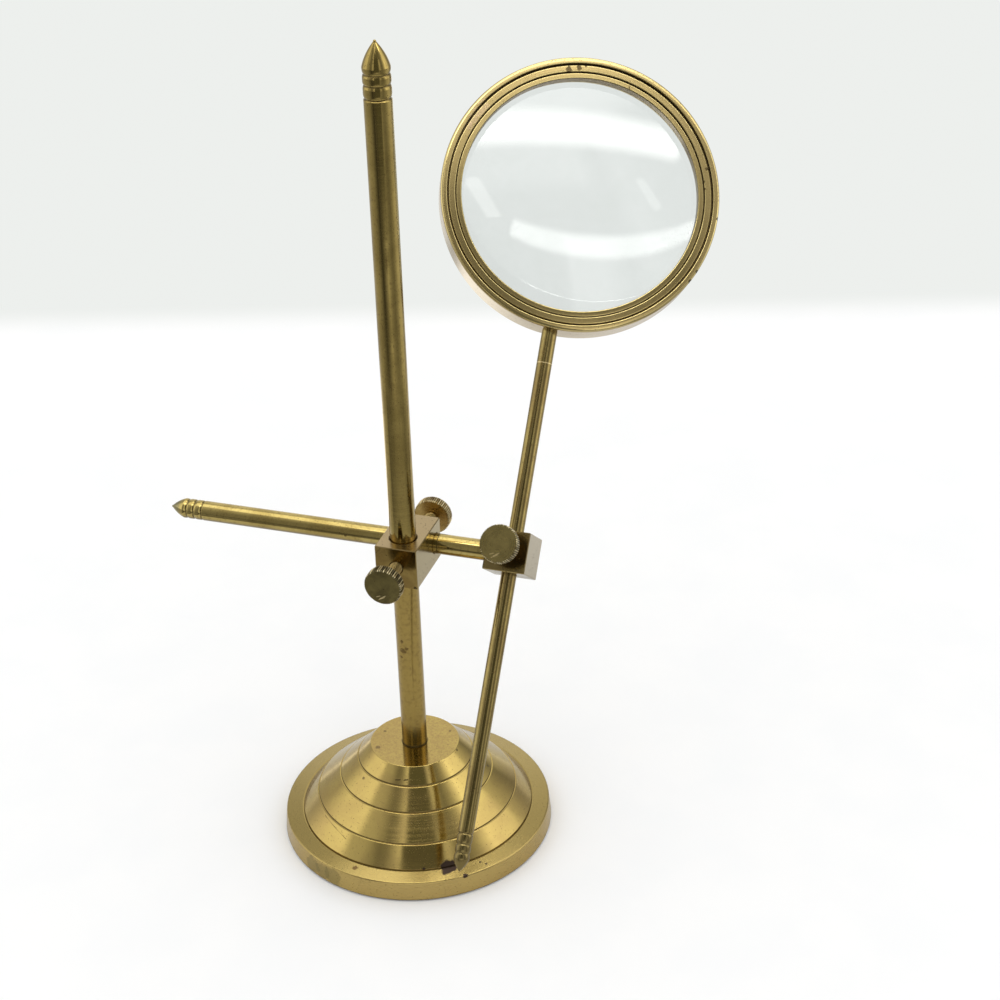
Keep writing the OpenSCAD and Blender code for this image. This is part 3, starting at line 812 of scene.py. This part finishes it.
def base_height(r):
    """Height of the base's outside at a radius."""
    points = [(0, BASE_H)] + base_corners() + [(FOOT_R, FELT_PROUD)]
    for (r1, z1), (r2, z2) in zip(points, points[1:]):
        if r <= r2:
            return z1 + (z2 - z1) * (r - r1) / (r2 - r1)
    return FELT_PROUD


def make_base(material):
    run = BELL_FOOT[0] - TOP_EDGE[0]
    rise = BASE_H - BELL_FOOT[1]
    slant = hypot(run, rise)
    wall = (BASE_WALL * rise / slant, BASE_WALL * run / slant)
    ceiling = BASE_H - BASE_TOP_T
    ceiling_r = TOP_EDGE[0] - wall[0] + (BASE_TOP_T - wall[1]) * run / rise
    boss_z = ceiling - BOSS_H
    hole = SPIGOT_R + TURN_GAP
    corners = [(hole, BASE_H, 0), (TOP_EDGE[0], BASE_H, 0.45)]
    for upper, bottom, lower in base_grooves():
        corners += [(upper.x, upper.y, 0.12), (bottom.x, bottom.y, 0.08), (lower.x, lower.y, 0.42)]
    corners += [(RIM_TOP[0], RIM_TOP[1], 0.8), (FOOT_R, FELT_PROUD + 0.4, 0.3),
                (FOOT_R - 0.4, FELT_PROUD, 0.1), (FELT_R + SEAT_GAP, FELT_PROUD, 0.1),
                (FELT_R + SEAT_GAP, FELT_T, 0), (BELL_FOOT[0] - wall[0], FELT_T, 0.3),
                (BELL_FOOT[0] - wall[0], BELL_FOOT[1] - wall[1], 1.5), (ceiling_r, ceiling, 1.5),
                (BOSS_R, ceiling, 1), (BOSS_R, boss_z, 0.3), (hole + 0.4, boss_z, 0),
                (hole, boss_z + 0.4, 0)]
    piece = lathe("turned_base", HERE, soften(corners), 256, closed=True)
    return settle(piece, "base", material, "base_brass", "base_shell")


def make_pole(material):
    profile = finial(POLE_TIP, POLE_R, POLE_END)
    profile += shank(profile, POLE_R, BASE_H, 24)
    profile += [(SPIGOT_R, BASE_H), (SPIGOT_R, POLE_LOW.z + 0.8), (SPIGOT_R - 0.8, POLE_LOW.z),
                (0, POLE_LOW.z)]
    piece = lathe("turned_pole", HERE, profile, 96)
    return settle(piece, "pole", material, "pole_brass", "pole")


def make_arm(material):
    profile = finial(ARM_LEFT, ARM_R, ARM_END)
    profile += shank(profile, ARM_R, -END_LEFT, 16)
    profile += [(TENON_R, -END_LEFT), (TENON_R, 0.5 - END_LEFT - TENON_LEN),
                (TENON_R - 0.5, -END_LEFT - TENON_LEN), (0, -END_LEFT - TENON_LEN)]
    piece = lathe("turned_arm", AT_ARM_ROD, profile, 96)
    return settle(piece, "arm", material, "pole_brass", "arm_rod")


def make_lens_rod(material):
    profile = finial(ROD_BELOW, ROD_R, ROD_END)
    shoulder = ROD_TOP - LENS_REACH
    end = FRAME_BORE_R - LENS_REACH
    profile += shank(profile, ROD_R, shoulder, 24)
    profile += [(ROD_TIP_R, shoulder), (ROD_TIP_R, end), (0, end)]
    piece = lathe("turned_lens_rod", AT_LENS_ROD, profile, 72)
    return settle(piece, "lens_rod", material, "dark_brass", "lens_rod")


def make_frame(material):
    """Outer ring, with a lip at its back that the middle ring rests on."""
    corners = [(FRAME_BORE_R, CELL_SEAT, 0), (LIP_R, CELL_SEAT, 0.2), (LIP_R, -FRAME_FRONT, 0.4),
               (FRAME_R, -FRAME_FRONT, 1), (FRAME_R, FRAME_FRONT, 1.5), (FRAME_BORE_R, FRAME_FRONT, 0.4)]
    piece = lathe("turned_lens_frame", AT_LENS, soften(corners, 6), 256, closed=True)
    return settle(piece, "lens", material, "ring_brass", "lens_frame")


def make_cell(material):
    step = CELL_FRONT - 1.1
    corners = [(SEAT_R, CELL_SEAT, 0.2), (CELL_R, CELL_SEAT, 0.2), (CELL_R, step, 0),
               (CELL_R - CELL_STEP, step, 0), (CELL_R - CELL_STEP, CELL_FRONT, 0.4),
               (CELL_BORE_R, CELL_FRONT, 0.35), (CELL_BORE_R, SEAT_Z, 0), (SEAT_R, SEAT_Z, 0.1)]
    piece = lathe("turned_lens_cell", AT_LENS, soften(corners, 5), 256, closed=True)
    return settle(piece, "lens", material, "ring_brass", "lens_cell")


def make_retaining_ring(material):
    step = RING_FRONT - 0.8
    corners = [(VIEW_R, RING_BACK, 0.1), (RING_R, RING_BACK, 0), (RING_R, step, 0),
               (RING_R - RING_STEP, step, 0), (RING_R - RING_STEP, RING_FRONT, 0.35),
               (VIEW_R, RING_FRONT, 0.45)]
    piece = lathe("turned_retaining_ring", AT_LENS, soften(corners, 5), 256, closed=True)
    return settle(piece, "lens", material, "ring_brass", "retaining_ring")


def make_lens(material):
    steps = 36
    front = [(LENS_R * i / steps, LENS_HALF_T - curve_sag(LENS_R * i / steps)) for i in range(steps + 1)]
    back = [(r, -z) for r, z in reversed(front)]
    piece = lathe("ground_lens", AT_LENS, front + back, 192)
    return settle(piece, "lens", material, "glass", "lens")


def ridged(r, z, a):
    """Radius of a knurled head at an angle: the ridges cut only what lies outside their valleys."""
    u = abs((a * RIDGES / tau) % 1 * 2 - 1)
    return min(r, KNOB_R - RIDGE_DEEP * (1 - min(1, u * 1.1)))


def make_knob(name, head, body, material):
    """Knurled head of a thumbscrew. Its body and its CAD node have the same name."""
    hole = SCREW_R + TURN_GAP
    side = [(KNOB_R, KNOB_T - KNOB_BEVEL - (KNOB_T - 2 * KNOB_BEVEL) * i / 6) for i in range(7)]
    bevel = [(KNOB_R - KNOB_BEVEL * (1 - i / 4), KNOB_BEVEL * i / 4) for i in range(5)]
    top = [(r, KNOB_T - z) for r, z in bevel]
    profile = [(r, KNOB_T) for r in (0, 2, 4, 6, KNOB_R - KNOB_BEVEL - 0.15)]
    profile += top + side[1:-1] + bevel[::-1]
    profile += [(hole, 0), (hole, SOCKET_DEEP), (0, SOCKET_DEEP)]
    piece = lathe(name, head, profile, RIDGES * 6, shape=ridged)
    return settle(piece, body, material, "knob_brass", body)


def threaded(r, z, a):
    """Radius of a screw's shank with a right-hand thread of 1 mm pitch."""
    if r < SCREW_R - 0.01:
        return r
    u = abs((z - a / tau) % 1 * 2 - 1)
    fade = min(1, max(0, z - 1.6), max(0, SCREW_LEN - 0.6 - z))
    return r - THREAD_DEEP * fade * max(0, min(1, u * 1.3 - 0.15))


def make_screw(name, foot, body, material):
    """Screw of a thumbscrew. Its body and its CAD node have the same name."""
    length = SCREW_LEN + SOCKET_DEEP - SEAT_GAP
    profile = [(0, length), (SCREW_R, length)]
    steps = int(length * 12)
    profile += [(SCREW_R, length - (length - 2.2) * i / steps) for i in range(1, steps + 1)]
    profile += [(2.2, 1.4), (2.2, 0.2), (2.0, 0), (0, 0)]
    piece = lathe(name, foot, profile, 48, shape=threaded)
    return settle(piece, body, material, "dark_brass", body)


def dress(node, material):
    """Give a CAD node its material."""
    piece = bpy.data.objects[node]
    piece.data.materials.clear()
    piece.data.materials.append(material)


def make_pieces():
    ring = ring_brass()
    make_base(base_brass())
    make_pole(pole_brass())
    make_arm(arm_brass())
    make_lens_rod(lens_rod_brass())
    make_frame(ring)
    make_cell(ring)
    make_retaining_ring(ring)
    make_lens(glass())
    for which, place, rod_r in (("pole", AT_POLE_SCREW, POLE_R), ("arm", AT_ARM_SCREW, ARM_R),
                                ("lens", AT_LENS_SCREW, ROD_R)):
        foot = place @ shift(0, 0, rod_r + SEAT_GAP)
        head = place @ shift(0, 0, rod_r + SEAT_GAP + SCREW_LEN)
        knob = knob_brass(which + "_knob_brass", head, *KNOB_TONES[which])
        screw = screw_brass(which + "_screw_brass", foot)
        make_knob(which + "_knurled_head", head, which + "_knob", knob)
        make_screw(which + "_threaded_screw", foot, which + "_screw", screw)
    dress("cross_block", block_brass())
    dress("end_block", end_brass())
    metal = steel()
    dress("pole_washer", metal)
    dress("pole_nut", metal)
    dress("base_felt", felt())


# Stage

# The floor ends in a straight line behind the object, which runs at this angle to X
FLOOR_SKEW = 17.14
FLOOR_END = 640
FLOOR_HALF = 3000
# Distances over which the floor fades into the pale wall
FADE = (577, 635)
WALL = (0.848, 0.868, 0.846)

# Floor as the metal mirrors it: how much the white sheet is dimmed, and the radii over which it gives
# way to the table and the table to the ground
SHEET_DIM = 0.22
SHEET_EDGE = (255, 305)
TABLE_EDGE = (460, 540)
# Azimuth in degrees from +X, and brightness
TABLE = [(-180, 0.65), (-155, 0.5), (-145, 0.2), (-115, 0.3), (-85, 0.4), (-65, 0.42), (-30, 0.45),
         (0, 0.3), (35, 0.45), (50, 0.85), (100, 1.0), (115, 1.4), (140, 1.8), (165, 0.9)]
GROUND = [(-180, 0.63), (-148, 0.5), (-134, 0.4), (-118, 0.2), (-107, 0.08), (-98, 0.15), (-88, 0.3),
          (-78, 0.5), (-64, 0.75), (-50, 0.5), (-35, 0.35), (-20, 0.32), (0, 0.5), (20, 0.85), (36, 0.9),
          (60, 0.67), (140, 0.68)]
# Darker ground further off, in front: radii of its soft edge, azimuths of its sides, and brightness
FAR_EDGE = (760, 880)
FAR_SIDES = (radians(-95), radians(-55))
FAR_TONE = (0.1, 0.1, 0.1)

# Room as the metal mirrors it: azimuth in degrees from +X, and brightness
ROOM = [(-180, 1.3), (-152, 1.45), (-145, 0.75), (-130, 0.65), (-124, 0.5), (-115, 0.28), (-106, 0.35),
        (-99, 0.65), (-93, 1.0), (-86, 1.1), (-52, 1.3), (-45, 0.4), (-39, 0.95), (-30, 0.45), (-20, 0.3),
        (-8, 0.6), (2, 1.3), (8, 1.9), (16, 1.7), (35, 1.5), (42, 0.85), (55, 0.55), (67, 0.3), (73, 0.55),
        (95, 1.05), (122, 1.05), (140, 0.55), (163, 0.65), (175, 1.1)]
# The ceiling's brightness, the sines of elevation where it starts, and how much lower it hangs behind
CEILING = 2.1
CEILING_EDGE = (sin(radians(58)), sin(radians(68)))
CEILING_LEAN = 0.12
# Strength of the even light on everything that isn't metal or glass
DAYLIGHT = 1.08

# Dark card in front of the object, which only the metal and the glass mirror. Its upper part is wider.
CARD_AZIMUTH = -69
CARD_AWAY = 380
CARD_SIDE = (-138, 150)
CARD_WIDE = 320
CARD_STEP = 660
CARD_FOOT = 195
CARD_TOP = (800, 950)
CARD_PALER = (600, 720)
CARD_SIDE_SOFT = 14
CARD_SOFT = 30

# Strip lamp over the lens, which both of its faces mirror as pale bands, a thin lamp and a short one
LAMP_Z = 750
LAMP_TURN = 17
LAMP_GLOW = 9.0
STRIP_START = (-320, -200)
STRIP_END = (437, 467)
STRIP_WIDE = (-142, -56)
STRIP_SOFT = 20
STRIP_SHARE = 0.6
THIN_LONG = (-20, 390)
THIN_SOFT = 8
THIN_AT = 232
THIN_HALF = 11
SHORT_ENDS = ((-51, -254, 0), (-6, -387, 0))
SHORT_HALF = 26
SHORT_SHARE = 0.2

# Camera above the front right, which looks down at the object
CAMERA_LENS = 71.874
CAMERA_PLACE = (293.48, -730.56, 615.75)
CAMERA_RIGHT = (0.951795, 0.305619, -0.026149)
CAMERA_UP = (-0.127486, 0.471683, 0.872503)
CAMERA_FORWARD = (-0.278988, 0.827111, -0.487908)


def floor_material():
    """White sheet that takes the object's shadow. The metal also mirrors the darker table around it."""
    paper = Shader("floor")
    grain = paper.noise(paper.place, 0.02, 3.0)
    white = paper.mix(paper.rise(grain, 0.3, 0.7), (0.93, 0.935, 0.935), (0.95, 0.95, 0.945))
    path = paper.node("ShaderNodeLightPath")
    dim = paper.times(path.outputs["Is Glossy Ray"], SHEET_DIM)
    diffuse = paper.node("ShaderNodeBsdfDiffuse")
    paper.feed(diffuse.inputs["Color"], paper.mix(dim, white, (0, 0, 0)))
    table = paper.round_about(paper.angle, TABLE)
    ground = paper.round_about(paper.angle, GROUND)
    around = paper.mix(paper.rise(paper.radius, *TABLE_EDGE), table, ground)
    shaded = paper.node("ShaderNodeEmission")
    outside = paper.rise(paper.radius, *SHEET_EDGE)
    far = paper.times(paper.rise(paper.radius, *FAR_EDGE), paper.within(paper.angle, *FAR_SIDES, 0.08))
    around = paper.mix(far, around, FAR_TONE)
    paper.feed(shaded.inputs["Color"], around)
    seen_in_metal = paper.times(outside, path.outputs["Is Glossy Ray"])
    sheet = paper.blend(seen_in_metal, diffuse.outputs[0], shaded.outputs[0])
    wall = paper.node("ShaderNodeEmission")
    wall.inputs["Color"].default_value = (*WALL, 1)
    back = paper.plus(paper.times(paper.x, -sin(radians(FLOOR_SKEW))),
                      paper.times(paper.y, cos(radians(FLOOR_SKEW))))
    surface = paper.blend(paper.rise(back, *FADE), sheet, wall.outputs[0])
    paper.feed(paper.output.inputs["Surface"], surface)
    return paper.material


def flat_piece(name, corners, material):
    """One flat face of the stage, from its corners in millimetres."""
    data = bpy.data.meshes.new(name)
    data.from_pydata([Vector(corner) * MM for corner in corners], [], [range(len(corners))])
    data.materials.append(material)
    piece = new_object(name, data)
    return piece


def make_floor():
    skew = turn(FLOOR_SKEW, "Z")
    corners = [(-FLOOR_HALF, -FLOOR_HALF), (FLOOR_HALF, -FLOOR_HALF), (FLOOR_HALF, FLOOR_END),
               (-FLOOR_HALF, FLOOR_END)]
    flat_piece("floor", [skew @ Vector((x, y, 0)) for x, y in corners], floor_material())


def make_card():
    """Dark card with soft edges. The parts of the sheet beside it are clear."""
    at = turn(CARD_AZIMUTH, "Z") @ shift(CARD_AWAY, 0, 0)
    paint = Shader("dark_card", at)
    dark = paint.node("ShaderNodeEmission")
    cloud = paint.noise(paint.place, 0.02, 3.0)
    tone = paint.mix(cloud, (0.13, 0.135, 0.115), (0.19, 0.19, 0.165))
    tone = paint.mix(paint.rise(paint.z, *CARD_PALER), tone, (0.27, 0.27, 0.25))
    paint.feed(dark.inputs["Color"], tone)
    narrow = paint.within(paint.y, *CARD_SIDE, CARD_SIDE_SOFT)
    wide = paint.times(paint.within(paint.y, CARD_SIDE[0], CARD_WIDE, CARD_SOFT),
                       paint.rise(paint.z, CARD_STEP - CARD_SOFT, CARD_STEP + CARD_SOFT))
    upright = paint.times(paint.rise(paint.z, CARD_FOOT - CARD_SOFT, CARD_FOOT + CARD_SOFT),
                          paint.rise(paint.z, *CARD_TOP, 1.0, 0.0))
    cover = paint.times(paint.math("MAXIMUM", narrow, wide), upright)
    clear = paint.node("ShaderNodeBsdfTransparent")
    paint.feed(paint.output.inputs["Surface"], paint.blend(cover, clear.outputs[0], dark.outputs[0]))
    left = CARD_SIDE[0] - 40
    right = CARD_WIDE + 50
    top = CARD_TOP[1]
    corners = [(0, left, 0), (0, right, 0), (0, right, top), (0, left, top)]
    card = flat_piece("dark_card", [at @ Vector(corner) for corner in corners], paint.material)
    card.visible_camera = False
    card.visible_diffuse = False
    card.visible_transmission = False
    card.visible_shadow = False


def make_lamps():
    """Lamps over the lens, on one clear sheet. Only the metal and the glass show them."""
    lamp = Shader("lamps", shift(0, 0, LAMP_Z) @ turn(LAMP_TURN, "Z"))
    length = lamp.times(lamp.rise(lamp.x, *STRIP_START), lamp.rise(lamp.x, *STRIP_END, 1.0, 0.0))
    strip = lamp.times(length, lamp.within(lamp.y, *STRIP_WIDE, STRIP_SOFT))
    thin = lamp.times(lamp.within(lamp.x, *THIN_LONG, THIN_SOFT), lamp.line(lamp.y, THIN_AT, THIN_HALF))
    short = lamp.times(lamp.streak(*SHORT_ENDS, SHORT_HALF), SHORT_SHARE)
    lit = lamp.math("MAXIMUM", lamp.times(strip, STRIP_SHARE), lamp.math("MAXIMUM", thin, short))
    glow = lamp.node("ShaderNodeEmission")
    glow.inputs["Color"].default_value = (1, 0.995, 0.97, 1)
    glow.inputs["Strength"].default_value = LAMP_GLOW
    clear = lamp.node("ShaderNodeBsdfTransparent")
    lamp.feed(lamp.output.inputs["Surface"], lamp.blend(lit, clear.outputs[0], glow.outputs[0]))
    corners = [(-420, -480, LAMP_Z), (620, -480, LAMP_Z), (620, 480, LAMP_Z), (-420, 480, LAMP_Z)]
    sheet = flat_piece("lamps", corners, lamp.material)
    sheet.visible_camera = False
    sheet.visible_diffuse = False
    sheet.visible_shadow = False


def make_world():
    """Plain white light, a pale backdrop, and a room with panels for the metal to mirror."""
    world = bpy.data.worlds.new("studio")
    bpy.context.scene.world = world
    world.use_nodes = True
    shader = Nodes(world.node_tree)
    output = shader.node("ShaderNodeOutputWorld")
    direction = shader.node("ShaderNodeTexCoord").outputs["Generated"]
    x, y, z = shader.split(direction)
    room = shader.round_about(shader.math("ARCTAN2", y, x), ROOM)
    behind = shader.times(shader.math("MAXIMUM", y, 0.0), CEILING_LEAN)
    above = shader.rise(shader.plus(z, behind), *CEILING_EDGE)
    room = shader.plus(shader.times(room, shader.math("SUBTRACT", 1.0, above)),
                       shader.times(above, CEILING))
    mirrored = shader.node("ShaderNodeBackground")
    mirrored.inputs["Color"].default_value = (1, 0.995, 0.98, 1)
    shader.feed(mirrored.inputs["Strength"], room)
    plain = shader.node("ShaderNodeBackground")
    plain.inputs["Color"].default_value = (1, 1, 1, 1)
    plain.inputs["Strength"].default_value = DAYLIGHT
    backdrop = shader.node("ShaderNodeBackground")
    backdrop.inputs["Color"].default_value = (*WALL, 1)
    path = shader.node("ShaderNodeLightPath")
    lit = shader.blend(path.outputs["Is Glossy Ray"], plain.outputs[0], mirrored.outputs[0])
    direct = shader.math("MAXIMUM", path.outputs["Is Camera Ray"], path.outputs["Is Transmission Ray"])
    shader.feed(output.inputs["Surface"], shader.blend(direct, lit, backdrop.outputs[0]))


def make_camera():
    data = bpy.data.cameras.new("camera")
    data.lens = CAMERA_LENS
    data.sensor_width = 36
    data.clip_end = 50
    camera = new_object("camera", data)
    axes = (Vector(CAMERA_RIGHT), Vector(CAMERA_UP), -Vector(CAMERA_FORWARD))
    place = Matrix(axes).transposed().to_4x4()
    place.translation = Vector(CAMERA_PLACE) * MM
    camera.matrix_world = place
    bpy.context.scene.camera = camera


make_pieces()
make_floor()
make_card()
make_lamps()
make_world()
make_camera()
bpy.context.scene.view_settings.view_transform = "Standard"
